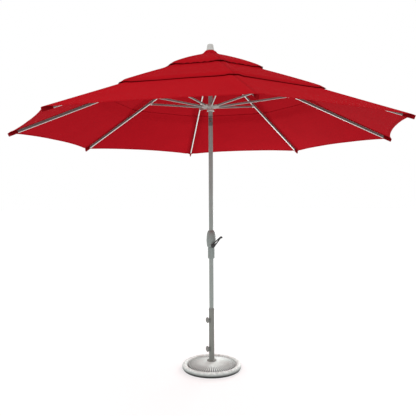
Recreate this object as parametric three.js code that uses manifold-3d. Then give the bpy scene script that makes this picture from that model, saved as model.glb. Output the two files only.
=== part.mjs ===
// Patio umbrella with base: an eight-rib market umbrella with a double wind vent, crank lift and tilting pole.
// Millimetres, +Z up, the pole on the Z axis, the crank towards -Y.
import * as THREE from "three";
import { mergeVertices } from "three/addons/utils/BufferGeometryUtils.js";
import ManifoldModule from "manifold-3d";

const kernel = await ManifoldModule();
kernel.setup();

// ---------------------------------------------------------------- driving dimensions
const gap = 0.3; // between pieces that touch
const slide = 0.6; // radial clearance of a piece that slides or turns
const ribCount = 8;
const canopyTurnDeg = 8.56; // how far the first rib is turned from -Y, towards +X
const canopyRadius = 1560; // pole axis to fabric tip
const ribFall = 618; // hub pivot down to fabric tip
const hubPivotRadius = 52;
const hubPivotHeight = 2480;
const poleRadius = 17.5;
const poleWall = 1.8;
const baseRadius = 240;
const rimTop = 45;
const plateRadius = 191.5;
const stemWall = 2.6;
const stemTop = 472;
const collarBottom = 893;
const collarTop = 983;
const housingTop = 1118;
const housingWall = 20.5; // housing past the pole, at each side
const crankHeight = 1000;
const crankTurnDeg = 12; // how far the crank is turned from -Y, towards +X
const knobTurnDeg = 30; // how far the stem knobs are turned from -X, towards -Y
const tiltBelowHub = 470;
const runnerPivotRadius = 62;
const strutPlace = 650; // along the rib, hub pivot to bracket
const strutRiseDeg = 9.5; // strut slope when the canopy is open
const ribWidth = 10;
const ribDepth = 21;
const strutWidth = 6.4;
const strutDepth = 15;
const clothThickness = 1.6;

// ---------------------------------------------------------------- derived dimensions
const tiltHeight = hubPivotHeight - tiltBelowHub;
const stemBore = poleRadius + 1.5;
const stemRadius = stemBore + stemWall;
const housingHalfWidth = poleRadius + housingWall;
const ribReach = canopyRadius - hubPivotRadius;
const ribAngle = Math.atan2(ribFall, ribReach);
const ribSpan = Math.hypot(ribFall, ribReach);
const bracketDrop = ribDepth / 2 + strutDepth / 2 + 2;
const clevisHalf = strutWidth / 2 + 0.4;
const bracketRadius =
  hubPivotRadius + strutPlace * Math.cos(ribAngle) - bracketDrop * Math.sin(ribAngle);
const bracketHeight =
  hubPivotHeight - strutPlace * Math.sin(ribAngle) - bracketDrop * Math.cos(ribAngle);
const strutRise = THREE.MathUtils.degToRad(strutRiseDeg);
const strutLength = (bracketRadius - runnerPivotRadius) / Math.cos(strutRise);
const runnerHeight = bracketHeight - strutLength * Math.sin(strutRise);

// ---------------------------------------------------------------- solids
function solid(geometry) {
  const bare = geometry.clone();
  for (const name of Object.keys(bare.attributes)) {
    if (name !== "position") bare.deleteAttribute(name);
  }
  const merged = mergeVertices(bare, 1e-4);
  const corners = merged.index.array;
  const kept = [];
  for (let i = 0; i < corners.length; i += 3) {
    const [a, b, c] = [corners[i], corners[i + 1], corners[i + 2]];
    if (a !== b && b !== c && a !== c) kept.push(a, b, c);
  }
  const mesh = new kernel.Mesh({
    numProp: 3,
    vertProperties: new Float32Array(merged.attributes.position.array),
    triVerts: new Uint32Array(kept),
  });
  return new kernel.Manifold(mesh);
}

function meshOf(name, shape, finish) {
  const made = shape.getMesh();
  const geometry = new THREE.BufferGeometry();
  geometry.setAttribute("position", new THREE.BufferAttribute(new Float32Array(made.vertProperties), 3));
  geometry.setIndex(new THREE.BufferAttribute(new Uint32Array(made.triVerts), 1));
  geometry.computeVertexNormals();
  const mesh = new THREE.Mesh(geometry, new THREE.MeshStandardMaterial(finish));
  mesh.name = name;
  return mesh;
}

function lathe(profile, segments) {
  const points = profile.map(([r, z]) => new THREE.Vector2(r, z));
  const geometry = new THREE.LatheGeometry(points, segments);
  geometry.rotateX(Math.PI / 2);
  return solid(geometry);
}

// a tube or ring: the profile closes on itself
function ring(inner, outer, low, high, segments) {
  return lathe([[inner, low], [outer, low], [outer, high], [inner, high], [inner, low]], segments);
}

function disc(radius, low, high, segments) {
  return lathe([[0, low], [radius, low], [radius, high], [0, high]], segments);
}

function box(x0, x1, y0, y1, z0, z1) {
  const geometry = new THREE.BoxGeometry(x1 - x0, y1 - y0, z1 - z0);
  geometry.translate((x0 + x1) / 2, (y0 + y1) / 2, (z0 + z1) / 2);
  return solid(geometry);
}

// a round bar between two values of X, Y or Z
function rod(axis, radius, from, to, at, segments) {
  const geometry = new THREE.CylinderGeometry(radius, radius, to - from, segments);
  geometry.translate(0, (from + to) / 2, 0);
  if (axis === "x") geometry.rotateZ(-Math.PI / 2);
  if (axis === "z") geometry.rotateX(Math.PI / 2);
  geometry.translate(at[0], at[1], at[2]);
  return solid(geometry);
}

function extrude(shape, depth, curveSegments) {
  const options = { depth, bevelEnabled: false, curveSegments };
  return solid(new THREE.ExtrudeGeometry(shape, options));
}

function placed(shape, matrix) {
  return shape.transform(matrix.toArray());
}

// the direction of rib k, as a turn about Z from +X
function ribTurn(k) {
  return THREE.MathUtils.degToRad(-90 + canopyTurnDeg + (360 / ribCount) * k);
}

// the frame of a rib: u out along it, v across it, w up from it, from a point at (radius, height)
function barFrame(k, radius, height, pitch) {
  const turn = new THREE.Matrix4().makeRotationZ(ribTurn(k));
  const out = new THREE.Matrix4().makeTranslation(radius, 0, height);
  const dip = new THREE.Matrix4().makeRotationY(pitch);
  return turn.multiply(out).multiply(dip);
}

// a flat bar with round ends in its own frame, from u=0 to u=length
function roundBar(length, depth, width) {
  const r = depth / 2;
  const shape = new THREE.Shape();
  shape.moveTo(0, -r);
  shape.lineTo(length, -r);
  shape.absarc(length, 0, r, -Math.PI / 2, Math.PI / 2, false);
  shape.lineTo(0, r);
  shape.absarc(0, 0, r, Math.PI / 2, Math.PI * 1.5, false);
  const bar = extrude(shape, width, 3);
  const upright = new THREE.Matrix4().makeRotationX(Math.PI / 2);
  return placed(bar, new THREE.Matrix4().makeTranslation(0, width / 2, 0).multiply(upright));
}

// ---------------------------------------------------------------- base
const padTop = 7.7;
const floorTop = 28;
const plateTop = 62;
const plateShoulder = 37.5;
const fluteCount = 64;
const fluteDepth = 3;
const flangeRadius = 38;
const flangeTop = plateTop + gap + 7;
const stemFloor = 72;

function basePad() {
  const r = baseRadius - 8;
  return lathe([[0, 0], [r - 4, 0], [r, 3], [r, padTop], [0, padTop]], 48);
}

function baseBody() {
  const b = baseRadius;
  const low = padTop + gap;
  const profile = [
    [0, low], [b - 8, low], [b - 3, low + 3], [b - 0.6, low + 8], [b, low + 16],
    [b - 2, low + 25], [b - 8, rimTop - 5], [b - 18, rimTop], [b - 29, rimTop - 1],
    [b - 37, rimTop - 7], [b - 41, floorTop + 3], [b - 44, floorTop], [0, floorTop],
  ];
  return lathe(profile, 48);
}

// the sunburst plate: straight radial flutes between a flat middle and a plain edge
function basePlate() {
  const columns = fluteCount * 2;
  const middle = 56;
  const edge = plateRadius - 3;
  const halfway = (middle + edge) / 2;
  const rings = [
    [middle - 6, 0, plateTop], [middle, 0, plateTop - 1.5],
    [halfway, fluteDepth * 0.6, (plateTop + plateShoulder) / 2 + 1],
    [edge, fluteDepth, plateShoulder], [plateRadius, 0, plateShoulder - 6],
  ];
  const low = floorTop + gap;
  const points = [];
  const faces = [];
  points.push(0, 0, plateTop, 0, 0, low);
  const all = [...rings, [plateRadius, 0, low]];
  for (const [r, wave, z] of all) {
    for (let i = 0; i < columns; i++) {
      const a = (2 * Math.PI * i) / columns;
      points.push(r * Math.cos(a), r * Math.sin(a), z + (i % 2 ? -wave : 0));
    }
  }
  const at = (ringIndex, i) => 2 + ringIndex * columns + (i % columns);
  for (let i = 0; i < columns; i++) {
    faces.push(0, at(0, i), at(0, i + 1));
    faces.push(1, at(all.length - 1, i + 1), at(all.length - 1, i));
    for (let j = 0; j + 1 < all.length; j++) {
      faces.push(at(j, i), at(j + 1, i), at(j + 1, i + 1));
      faces.push(at(j, i), at(j + 1, i + 1), at(j, i + 1));
    }
  }
  const geometry = new THREE.BufferGeometry();
  geometry.setAttribute("position", new THREE.Float32BufferAttribute(points, 3));
  geometry.setIndex(faces);
  return solid(geometry);
}

const knobHeights = { upper: 396, lower: 162 };
const screwRadius = 5;
const bossRadius = 10;
const bossReach = stemRadius + 6.4;
const knobNeck = 6; // boss to knob
const knobThickness = 9;

function stem() {
  const low = plateTop + gap;
  const profile = [
    [0, low], [flangeRadius, low], [flangeRadius, low + 4], [flangeRadius - 3, flangeTop],
    [stemRadius + 5, flangeTop + 1], [stemRadius, flangeTop + 8], [stemRadius, stemTop],
    [stemBore, stemTop], [stemBore, stemFloor], [0, stemFloor],
  ];
  let shape = lathe(profile, 40);
  for (const z of Object.values(knobHeights)) {
    const boss = rod("x", bossRadius, -bossReach, -stemBore - 1, [0, 0, z], 16);
    const hole = rod("x", screwRadius + slide, -bossReach - 2, -stemBore + 4, [0, 0, z], 16);
    shape = shape.add(turnedKnob(boss)).subtract(turnedKnob(hole));
  }
  return shape;
}

function stemCap() {
  const low = stemTop + gap;
  const [inner, outer] = [poleRadius + slide, stemRadius + 1.6];
  return lathe(
    [[inner, low], [outer, low], [outer, low + 12], [outer - 3, low + 16], [inner, low + 16], [inner, low]],
    40,
  );
}

function turnedKnob(shape) {
  return shape.rotate([0, 0, knobTurnDeg]);
}

// a round hand knob with shallow lobes, on a screw through the stem's boss
function knob(z) {
  const lobes = 6;
  const steps = 36;
  const shape = new THREE.Shape();
  for (let i = 0; i < steps; i++) {
    const a = (2 * Math.PI * i) / steps;
    const r = 23.1 + 0.9 * Math.cos(lobes * a);
    if (i) shape.lineTo(r * Math.cos(a), r * Math.sin(a));
    else shape.moveTo(r, 0);
  }
  const start = bossReach + knobNeck;
  const head = extrude(shape, knobThickness, 4);
  const turn = new THREE.Matrix4().makeRotationY(-Math.PI / 2);
  const onAxis = placed(head, new THREE.Matrix4().makeTranslation(-start, 0, z).multiply(turn));
  const neck = rod("x", 11, -start - 1, -bossReach - gap, [0, 0, z], 16);
  const screw = rod("x", screwRadius, -bossReach - 2, -poleRadius - 0.4, [0, 0, z], 16);
  const cap = rod("x", 15, -start - knobThickness - 2, -start - knobThickness + 1, [0, 0, z], 20);
  return turnedKnob(onAxis.add(neck).add(screw).add(cap));
}

// ---------------------------------------------------------------- lower pole
const plugBottom = stemFloor + gap;
const poleBottom = plugBottom + 6;
const poleBore = poleRadius - poleWall;
const lowerPoleTop = tiltHeight - 50;
const spigotRadius = poleBore - gap;

function footPlug() {
  return lathe(
    [[0, plugBottom], [poleRadius - 2, plugBottom], [poleRadius, plugBottom + 2],
      [poleRadius, poleBottom - gap], [spigotRadius, poleBottom - gap],
      [spigotRadius, poleBottom + 24], [0, poleBottom + 24]],
    32,
  );
}

function lowerPole() {
  return ring(poleBore, poleRadius, poleBottom, lowerPoleTop, 28);
}

// the fork: a plug in the pole, then two cheeks with round tops
const cheekRadius = poleRadius - 2;
const forkGapHalf = 6.5;
const tiltPinRadius = 4;

function cheekShape(radius, foot) {
  const shape = new THREE.Shape();
  shape.moveTo(-radius, foot);
  shape.lineTo(radius, foot);
  shape.lineTo(radius, 0);
  shape.absarc(0, 0, radius, 0, Math.PI, false);
  shape.lineTo(-radius, foot);
  return shape;
}

// a plate in the YZ plane between two values of X, its shape drawn about the tilt axis
function sidePlate(shape, x0, x1) {
  const plate = extrude(shape, x1 - x0, 10);
  const turn = new THREE.Matrix4().makeBasis(
    new THREE.Vector3(0, 1, 0), new THREE.Vector3(0, 0, 1), new THREE.Vector3(1, 0, 0));
  return placed(plate, new THREE.Matrix4().makeTranslation(x0, 0, tiltHeight).multiply(turn));
}

function knuckleLower() {
  const foot = lowerPoleTop + gap;
  const root = disc(poleRadius, foot, tiltHeight - poleRadius - 3, 40);
  const plug = disc(spigotRadius, foot - 40, foot + 1, 32);
  const cheeks = sidePlate(cheekShape(cheekRadius, -30), -poleRadius, poleRadius);
  const round = disc(poleRadius, foot, tiltHeight + cheekRadius + 1, 40);
  const slot = box(-forkGapHalf, forkGapHalf, -30, 30, tiltHeight - poleRadius, tiltHeight + 40);
  const hole = rod("x", tiltPinRadius + gap, -30, 30, [0, 0, tiltHeight], 20);
  return cheeks.intersect(round).add(root).subtract(slot).subtract(hole).add(plug);
}

const tongueRadius = poleRadius - 5;
const shoulder = tiltHeight + poleRadius + 2;
const upperPoleBottom = shoulder + 10;

function knuckleUpper() {
  const half = forkGapHalf - 0.5;
  const tongueShape = new THREE.Shape();
  tongueShape.moveTo(tongueRadius, 0);
  tongueShape.lineTo(tongueRadius, shoulder - tiltHeight + 3);
  tongueShape.lineTo(-tongueRadius, shoulder - tiltHeight + 3);
  tongueShape.lineTo(-tongueRadius, 0);
  tongueShape.absarc(0, 0, tongueRadius, Math.PI, 2 * Math.PI, false);
  const tongue = sidePlate(tongueShape, -half, half);
  const collar = disc(poleRadius, shoulder, upperPoleBottom - gap, 40);
  const plug = disc(spigotRadius, shoulder + 4, upperPoleBottom + 36, 32);
  const hole = rod("x", tiltPinRadius + gap, -30, 30, [0, 0, tiltHeight], 20);
  return tongue.subtract(hole).add(collar).add(plug);
}

function tiltPin() {
  return rod("x", tiltPinRadius, 1.5 - poleRadius, poleRadius - 1.5, [0, 0, tiltHeight], 20);
}

// ---------------------------------------------------------------- crank housing
const housingBottom = collarTop + 1.2;
const housingDepthScale = 1.42;
const spoolRadius = 11;
const spoolBack = -poleRadius - 3;
const spoolFront = spoolBack - 16;
const shaftRadius = 6;
const handleBack = spoolFront - 22;

function housingBarrel(scale) {
  const w = housingHalfWidth;
  const [low, high] = [housingBottom, housingTop];
  const profile = [
    [0, low], [w - 9, low], [w - 6, low + 4], [w - 3, low + 16], [w - 0.5, low + 36],
    [w, high - 74], [w - 1, high - 52], [w - 3.5, high - 30], [w - 8.5, high - 10], [w - 13, high], [0, high],
  ];
  return lathe(profile, 36).scale([1, scale, 1]);
}

function housingHalf(front) {
  const scale = front ? housingDepthScale : 1;
  const barrel = housingBarrel(scale);
  const bore = disc(poleRadius + gap, housingBottom - 5, housingTop + 5, 40);
  const half = front
    ? box(-80, 80, -100, -gap / 2, housingBottom - 5, housingTop + 5)
    : box(-80, 80, gap / 2, 100, housingBottom - 5, housingTop + 5);
  let shape = barrel.intersect(half).subtract(bore);
  if (front) {
    const pocket = rod("y", spoolRadius + 2.5, spoolFront - 2, 0, [0, 0, crankHeight], 28);
    const shaftHole = rod("y", shaftRadius + slide, -100, 0, [0, 0, crankHeight], 24);
    shape = shape.subtract(pocket).subtract(shaftHole);
  }
  return turnedCrank(shape);
}

function turnedCrank(shape) {
  return shape.rotate([0, 0, crankTurnDeg]);
}

function crankShaft() {
  const z = crankHeight;
  const core = rod("y", spoolRadius - 2.5, spoolFront, spoolBack, [0, 0, z], 24);
  const front = rod("y", spoolRadius, spoolFront, spoolFront + 2, [0, 0, z], 24);
  const back = rod("y", spoolRadius, spoolBack - 2, spoolBack, [0, 0, z], 24);
  const shaft = rod("y", shaftRadius, handleBack + 1, spoolBack - 2, [0, 0, z], 24);
  return turnedCrank(core.add(front).add(back).add(shaft));
}

// a hub, a tapered arm with a slot along it, and a round grip that stands out of the arm's end
const handleReachX = 64;
const handleReachZ = 68;
const handleFront = handleBack - 15;
const handleHubRadius = 17;
const armNearRadius = 16;

// a tapered outline from a round end at the hub to a smaller one at the grip
function armOutline(shape, nearRadius, farRadius, from, to) {
  const points = [];
  for (let i = 0; i <= 8; i++) {
    const a = Math.PI / 2 + (Math.PI * i) / 8;
    points.push([from + nearRadius * Math.cos(a), nearRadius * Math.sin(a)]);
  }
  for (let i = 0; i <= 8; i++) {
    const a = -Math.PI / 2 + (Math.PI * i) / 8;
    points.push([to + farRadius * Math.cos(a), farRadius * Math.sin(a)]);
  }
  points.forEach(([x, y], i) => (i ? shape.lineTo(x, y) : shape.moveTo(x, y)));
  return shape;
}

function crankHandle() {
  const z = crankHeight;
  const reach = Math.hypot(handleReachX, handleReachZ);
  const outline = armOutline(new THREE.Shape(), armNearRadius, 6.5, 0, reach);
  outline.holes.push(armOutline(new THREE.Path(), 7, 1.5, 27, reach - 32));
  const plate = extrude(outline, 7, 8);
  const stand = new THREE.Matrix4().makeTranslation(0, handleFront + 10, z);
  stand.multiply(new THREE.Matrix4().makeRotationX(Math.PI / 2));
  stand.multiply(new THREE.Matrix4().makeRotationZ(Math.atan2(handleReachZ, handleReachX)));
  const arm = placed(plate, stand);
  const hub = rod("y", handleHubRadius, handleFront, handleBack, [0, 0, z], 28);
  const end = [handleReachX, 0, z + handleReachZ];
  const grip = rod("y", 8.5, handleFront - 30, handleFront + 4, end, 20);
  const bore = rod("y", shaftRadius + gap, handleBack - 3, handleBack + 5, [0, 0, z], 24);
  return turnedCrank(hub.add(arm).add(grip).subtract(bore));
}

function tiltCollar() {
  const [inner, outer] = [poleRadius + slide, poleRadius + 9.5];
  return lathe(
    [[inner, collarBottom], [outer - 3, collarBottom], [outer, collarBottom + 4],
      [outer, collarTop - 4], [outer - 2, collarTop], [inner, collarTop], [inner, collarBottom]],
    40,
  );
}

// ---------------------------------------------------------------- upper pole, runner and hub
const hubRadius = hubPivotRadius + 10;
const hubHalf = 14;
const upperPoleTop = hubPivotHeight + 20;
const sleeveRadius = poleRadius + 6;
const hubCore = poleRadius + 11;

function upperPole() {
  return ring(poleBore, poleRadius, upperPoleBottom, upperPoleTop, 28);
}

function lugPair(k, radiusIn, radiusOut, height, low, high, thick) {
  const frame = barFrame(k, 0, height, 0);
  const left = box(radiusIn, radiusOut, -clevisHalf - thick, -clevisHalf, low, high);
  const right = box(radiusIn, radiusOut, clevisHalf, clevisHalf + thick, low, high);
  return [placed(left, frame), placed(right, frame)];
}

function runner() {
  const z = runnerHeight;
  const bore = poleRadius + slide;
  let shape = lathe(
    [[bore, z - 40], [bore + 10, z - 40], [bore + 11, z - 36], [bore + 7, z - 24],
      [sleeveRadius, z - 12], [sleeveRadius, z + 22], [bore, z + 22], [bore, z - 40]],
    40,
  );
  for (let k = 0; k < ribCount; k++) {
    for (const lug of lugPair(k, sleeveRadius - 1.5, runnerPivotRadius + 8, z, -9, 9, 3)) {
      shape = shape.add(lug);
    }
  }
  return shape;
}

function topHub() {
  const z = hubPivotHeight;
  let shape = ring(poleRadius + gap, hubRadius, z - hubHalf, z + hubHalf, 40);
  for (let k = 0; k < ribCount; k++) {
    const frame = barFrame(k, 0, z, 0);
    const slot = box(hubCore, hubRadius + 5, -clevisHalf, clevisHalf, -hubHalf - 2, hubHalf + 2);
    const hole = rod("y", pinRadius + 0.5, -pinReach - 1, pinReach + 1, [hubPivotRadius, 0, 0], 8);
    shape = shape.subtract(placed(slot, frame)).subtract(placed(hole, frame));
  }
  return shape;
}

// ---------------------------------------------------------------- ribs and struts
const pinRadius = 2.5;
const pinReach = 6.4;
const ribStart = 20;
const ribEnd = ribSpan - 10;
const cheekThickness = 2.8;

function rib(k) {
  const tongue = roundBar(ribStart + 4, 14, strutWidth);
  const bar = box(ribStart, ribEnd, -ribWidth / 2, ribWidth / 2, -ribDepth / 2, ribDepth / 2);
  const pin = rod("y", pinRadius, -pinReach, pinReach, [0, 0, 0], 8);
  let shape = bar.add(tongue).add(pin);
  const [low, high] = [-bracketDrop - 7, -ribDepth / 2 + 6];
  for (const side of [-1, 1]) {
    const [near, far] = [clevisHalf, clevisHalf + cheekThickness];
    const [y0, y1] = side < 0 ? [-far, -near] : [near, far];
    shape = shape.add(box(strutPlace - 11, strutPlace + 11, y0, y1, low, high));
  }
  const hole = rod("y", pinRadius + 0.5, -20, 20, [strutPlace, 0, -bracketDrop], 8);
  shape = shape.subtract(hole);
  return placed(shape, barFrame(k, hubPivotRadius, hubPivotHeight, ribAngle));
}

// from the bracket in to the runner
function strut(k) {
  const bar = roundBar(strutLength, strutDepth, strutWidth);
  const reach = clevisHalf + cheekThickness - gap;
  const pin = rod("y", pinRadius, -reach, reach, [0, 0, 0], 8);
  const inward = Math.PI - strutRise;
  return placed(bar.add(pin), barFrame(k, bracketRadius, bracketHeight, inward));
}

// ---------------------------------------------------------------- canopy
// a point on the fabric: rho is the distance from the axis along a rib, t runs from rib k (0) to its neighbour (1)
const layers = {
  main: { inner: 855, outer: canopyRadius, lift: ribDepth / 2 + clothThickness + 2.2, scallop: 0.035, sag: 7 },
  mid: { inner: 392, outer: 983, lift: 31, scallop: 0.035, sag: 5 },
  top: { inner: 0, outer: 488, lift: 48, scallop: 0.035, sag: 3 },
};
const humpRadius = 62;
const humpTop = 34;
const humpRise = 17;
const finialNeck = poleRadius - 2;

function clothPoint(layer, k, rho, t, side) {
  const level = layer === layers.top ? Math.max(rho, humpTop) : rho;
  const z = hubPivotHeight - (level - hubPivotRadius) * Math.tan(ribAngle) + layer.lift / Math.cos(ribAngle);
  const climb = (humpRadius - rho) / (humpRadius - humpTop);
  const hump = layer === layers.top ? humpRise * THREE.MathUtils.clamp(climb, 0, 1) : 0;
  const [a, b] = [ribTurn(k), ribTurn(k + side)];
  const x = rho * ((1 - t) * Math.cos(a) + t * Math.cos(b));
  const y = rho * ((1 - t) * Math.sin(a) + t * Math.sin(b));
  const reach = THREE.MathUtils.clamp((rho - layer.inner) / (layer.outer - layer.inner), 0, 1);
  const sag = layer.sag * 4 * t * (1 - t) * Math.sin(Math.PI * Math.min(1, reach * 0.8 + 0.1));
  return [x, y, z - sag + hump];
}

// the hem curves in between the tips
function hem(layer, t) {
  return layer.outer * (1 - layer.scallop * Math.pow(4 * t * (1 - t), 0.6));
}

// a closed sheet over a grid of points, thickness down from the grid
function sheet(grid, thickness, closed) {
  const rows = grid.length;
  const columns = grid[0].length;
  const points = [];
  for (const level of [0, -thickness]) {
    for (const row of grid) {
      for (const [x, y, z] of row) points.push(x, y, z + level);
    }
  }
  const at = (i, j, lower) => (lower ? rows * columns : 0) + i * columns + (j % columns);
  const faces = [];
  const quad = (a, b, c, d) => faces.push(a, b, c, a, c, d);
  const spans = closed ? columns : columns - 1;
  for (let i = 0; i + 1 < rows; i++) {
    for (let j = 0; j < spans; j++) {
      quad(at(i, j), at(i + 1, j), at(i + 1, j + 1), at(i, j + 1));
      quad(at(i, j, true), at(i, j + 1, true), at(i + 1, j + 1, true), at(i + 1, j, true));
    }
  }
  for (let j = 0; j < spans; j++) {
    quad(at(0, j + 1), at(0, j + 1, true), at(0, j, true), at(0, j));
    quad(at(rows - 1, j), at(rows - 1, j, true), at(rows - 1, j + 1, true), at(rows - 1, j + 1));
  }
  if (!closed) {
    for (let i = 0; i + 1 < rows; i++) {
      quad(at(i, 0), at(i, 0, true), at(i + 1, 0, true), at(i + 1, 0));
      quad(at(i + 1, columns - 1), at(i + 1, columns - 1, true), at(i, columns - 1, true), at(i, columns - 1));
    }
  }
  const geometry = new THREE.BufferGeometry();
  geometry.setAttribute("position", new THREE.Float32BufferAttribute(points, 3));
  geometry.setIndex(faces);
  return solid(geometry);
}

// half a panel on each side of rib k
function sector(layer, k, rows, halfColumns) {
  const seam = gap / 2 / (layer.outer * Math.sin(Math.PI / ribCount));
  const grid = [];
  for (let i = 0; i <= rows; i++) {
    const row = [];
    for (let j = -halfColumns; j <= halfColumns; j++) {
      const t = (Math.abs(j) / halfColumns) * (0.5 - seam);
      const edge = hem(layer, t);
      const rho = layer.inner + ((edge - layer.inner) * i) / rows;
      row.push(clothPoint(layer, k, rho, t, j < 0 ? -1 : 1));
    }
    grid.push(row);
  }
  return sheet(grid, clothThickness, false);
}

function topCap() {
  const layer = layers.top;
  const neck = finialNeck + 1;
  const radii = [neck, humpTop, humpRadius, 180, 320];
  const perPanel = 4;
  const grid = [];
  for (let i = 0; i <= radii.length; i++) {
    const row = [];
    for (let k = 0; k < ribCount; k++) {
      for (let j = 0; j < perPanel; j++) {
        const t = j / perPanel;
        const round = Math.cos(Math.PI / ribCount) / Math.cos(Math.PI / ribCount - (t * 2 * Math.PI) / ribCount);
        const near = i < radii.length ? radii[i] : 0;
        const toRound = near && near < 100 ? 1 / round : 1;
        const rho = i < radii.length ? near * toRound : hem(layer, t);
        row.push(clothPoint(layer, k, rho, t, 1));
      }
    }
    grid.push(row);
  }
  return sheet(grid, clothThickness, true);
}

// ---------------------------------------------------------------- finial
function finial() {
  const lift = layers.top.lift / Math.cos(ribAngle);
  const clothTop = hubPivotHeight + (hubPivotRadius - humpTop) * Math.tan(ribAngle) + lift + humpRise;
  const low = clothTop + 1.5;
  const neckLow = upperPoleTop + gap;
  return lathe(
    [[0, neckLow - 24], [spigotRadius, neckLow - 24], [spigotRadius, neckLow], [finialNeck, neckLow],
      [finialNeck, low], [31, low], [32, low + 3], [31, low + 10], [29, low + 12],
      [25.5, low + 40], [23, low + 49], [17, low + 53], [0, low + 54]],
    32,
  );
}

// ---------------------------------------------------------------- assembly
const finishes = {
  coated: { color: "#8e8d89", roughness: 0.45, metalness: 0.4 },
  cast: { color: "#b9b7b0", roughness: 0.6, metalness: 0.1 },
  plate: { color: "#9b9993", roughness: 0.5, metalness: 0.3 },
  steel: { color: "#a5a5a2", roughness: 0.3, metalness: 1 },
  grey: { color: "#868580", roughness: 0.5, metalness: 0 },
  dark: { color: "#4b4f4d", roughness: 0.5, metalness: 0 },
  black: { color: "#1c1d1f", roughness: 0.45, metalness: 0 },
  pale: { color: "#c2c1bb", roughness: 0.45, metalness: 0 },
  rubber: { color: "#202020", roughness: 0.85, metalness: 0 },
  cloth: { color: "#c11a24", roughness: 0.9, metalness: 0 },
};
const part = new THREE.Group();
part.name = "patio_umbrella";
const put = (name, shape, finish) => part.add(meshOf(name, shape, finish));

put("base_pad", basePad(), finishes.rubber);
put("base_body", baseBody(), finishes.cast);
put("base_plate", basePlate(), finishes.plate);
put("stem", stem(), finishes.coated);
put("stem_cap", stemCap(), finishes.grey);
put("knob_upper", knob(knobHeights.upper), finishes.grey);
put("knob_lower", knob(knobHeights.lower), finishes.grey);
put("foot_plug", footPlug(), finishes.black);
put("lower_pole", lowerPole(), finishes.coated);
put("knuckle_lower", knuckleLower(), finishes.dark);
put("tilt_pin", tiltPin(), finishes.steel);
put("housing_front", housingHalf(true), finishes.grey);
put("housing_back", housingHalf(false), finishes.grey);
put("crank_shaft", crankShaft(), finishes.steel);
put("crank_handle", crankHandle(), finishes.black);
put("tilt_collar", tiltCollar(), finishes.grey);
put("knuckle_upper", knuckleUpper(), finishes.dark);
put("upper_pole", upperPole(), finishes.coated);
put("runner", runner(), finishes.pale);
put("top_hub", topHub(), finishes.dark);
put("finial", finial(), finishes.pale);
for (let k = 0; k < ribCount; k++) {
  const n = String(k + 1);
  put(`rib_${n}`, rib(k), finishes.coated);
  put(`strut_${n}`, strut(k), finishes.coated);
  put(`canopy_main_${n}`, sector(layers.main, k, 3, 4), finishes.cloth);
  put(`canopy_mid_${n}`, sector(layers.mid, k, 2, 4), finishes.cloth);
}
put("canopy_top", topCap(), finishes.cloth);

export default part;
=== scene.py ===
"""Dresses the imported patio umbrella: cloth, poles, crank, runner, ribs, stem and base."""
import logging
import math
from dataclasses import dataclass, field
from enum import Enum
from typing import Callable, Iterable, Optional, Sequence, Union

import bmesh
import bpy
from mathutils import Matrix, Vector, noise


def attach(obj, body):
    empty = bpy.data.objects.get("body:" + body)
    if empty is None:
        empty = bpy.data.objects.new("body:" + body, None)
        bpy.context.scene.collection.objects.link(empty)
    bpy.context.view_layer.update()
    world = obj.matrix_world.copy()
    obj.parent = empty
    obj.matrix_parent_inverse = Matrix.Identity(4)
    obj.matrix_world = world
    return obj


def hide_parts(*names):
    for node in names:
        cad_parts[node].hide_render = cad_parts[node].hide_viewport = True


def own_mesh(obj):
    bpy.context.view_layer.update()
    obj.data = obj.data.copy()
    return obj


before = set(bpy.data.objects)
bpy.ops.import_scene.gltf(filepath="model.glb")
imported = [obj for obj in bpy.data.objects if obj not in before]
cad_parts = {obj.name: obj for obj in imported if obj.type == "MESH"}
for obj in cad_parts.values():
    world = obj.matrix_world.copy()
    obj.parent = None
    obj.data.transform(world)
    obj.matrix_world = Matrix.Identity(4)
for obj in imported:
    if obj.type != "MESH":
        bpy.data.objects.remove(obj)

LOG = logging.getLogger("umbrella")
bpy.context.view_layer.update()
Point = tuple[float, float]
Colour = tuple[float, float, float]
TAU = 2 * math.pi


# ------------------------------------------------------------------ sizes shared by the sub-assemblies
@dataclass(frozen=True)
class Layout:
    """The places and sizes that several sub-assemblies share, in metres.

    Attributes:
        ribs: how many ribs the canopy has.
        turn: the turn of the first rib about +Z, from +X, in radians.
        tip_radius: pole axis to fabric tip.
        hub_radius: pole axis to a rib's hinge.
        hub_height: the ribs' hinge above the ground.
        fall: hub hinge down to fabric tip.
        pole: the pole's outer radius.
    """

    ribs: int = 8
    turn: float = math.radians(-90 + 8.56)
    tip_radius: float = 1.560
    hub_radius: float = 0.052
    hub_height: float = 2.480
    fall: float = 0.618
    pole: float = 0.0175

    @property
    def slope(self) -> float:
        """The ribs' angle below level, in radians."""
        return math.atan2(self.fall, self.tip_radius - self.hub_radius)

    @property
    def rib_span(self) -> float:
        """A rib's length from hinge to fabric tip."""
        return math.hypot(self.fall, self.tip_radius - self.hub_radius)

    def heading(self, k: float) -> float:
        """The direction of rib k, as a turn about +Z from +X."""
        return self.turn + TAU / self.ribs * k

    def bar_frame(self, k: int, radius: float, height: float, pitch: float) -> Matrix:
        """The frame of a bar on rib k.

        Args:
            k: the rib's number, from 0.
            radius: the frame's distance from the pole axis.
            height: its height.
            pitch: how far its X axis dips below level, in radians.

        Returns:
            A matrix with X along the bar, Y across it and Z up from it.
        """
        turn = Matrix.Rotation(self.heading(k), 4, "Z")
        return turn @ Matrix.Translation((radius, 0, height)) @ Matrix.Rotation(pitch, 4, "Y")


LAYOUT = Layout()


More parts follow.
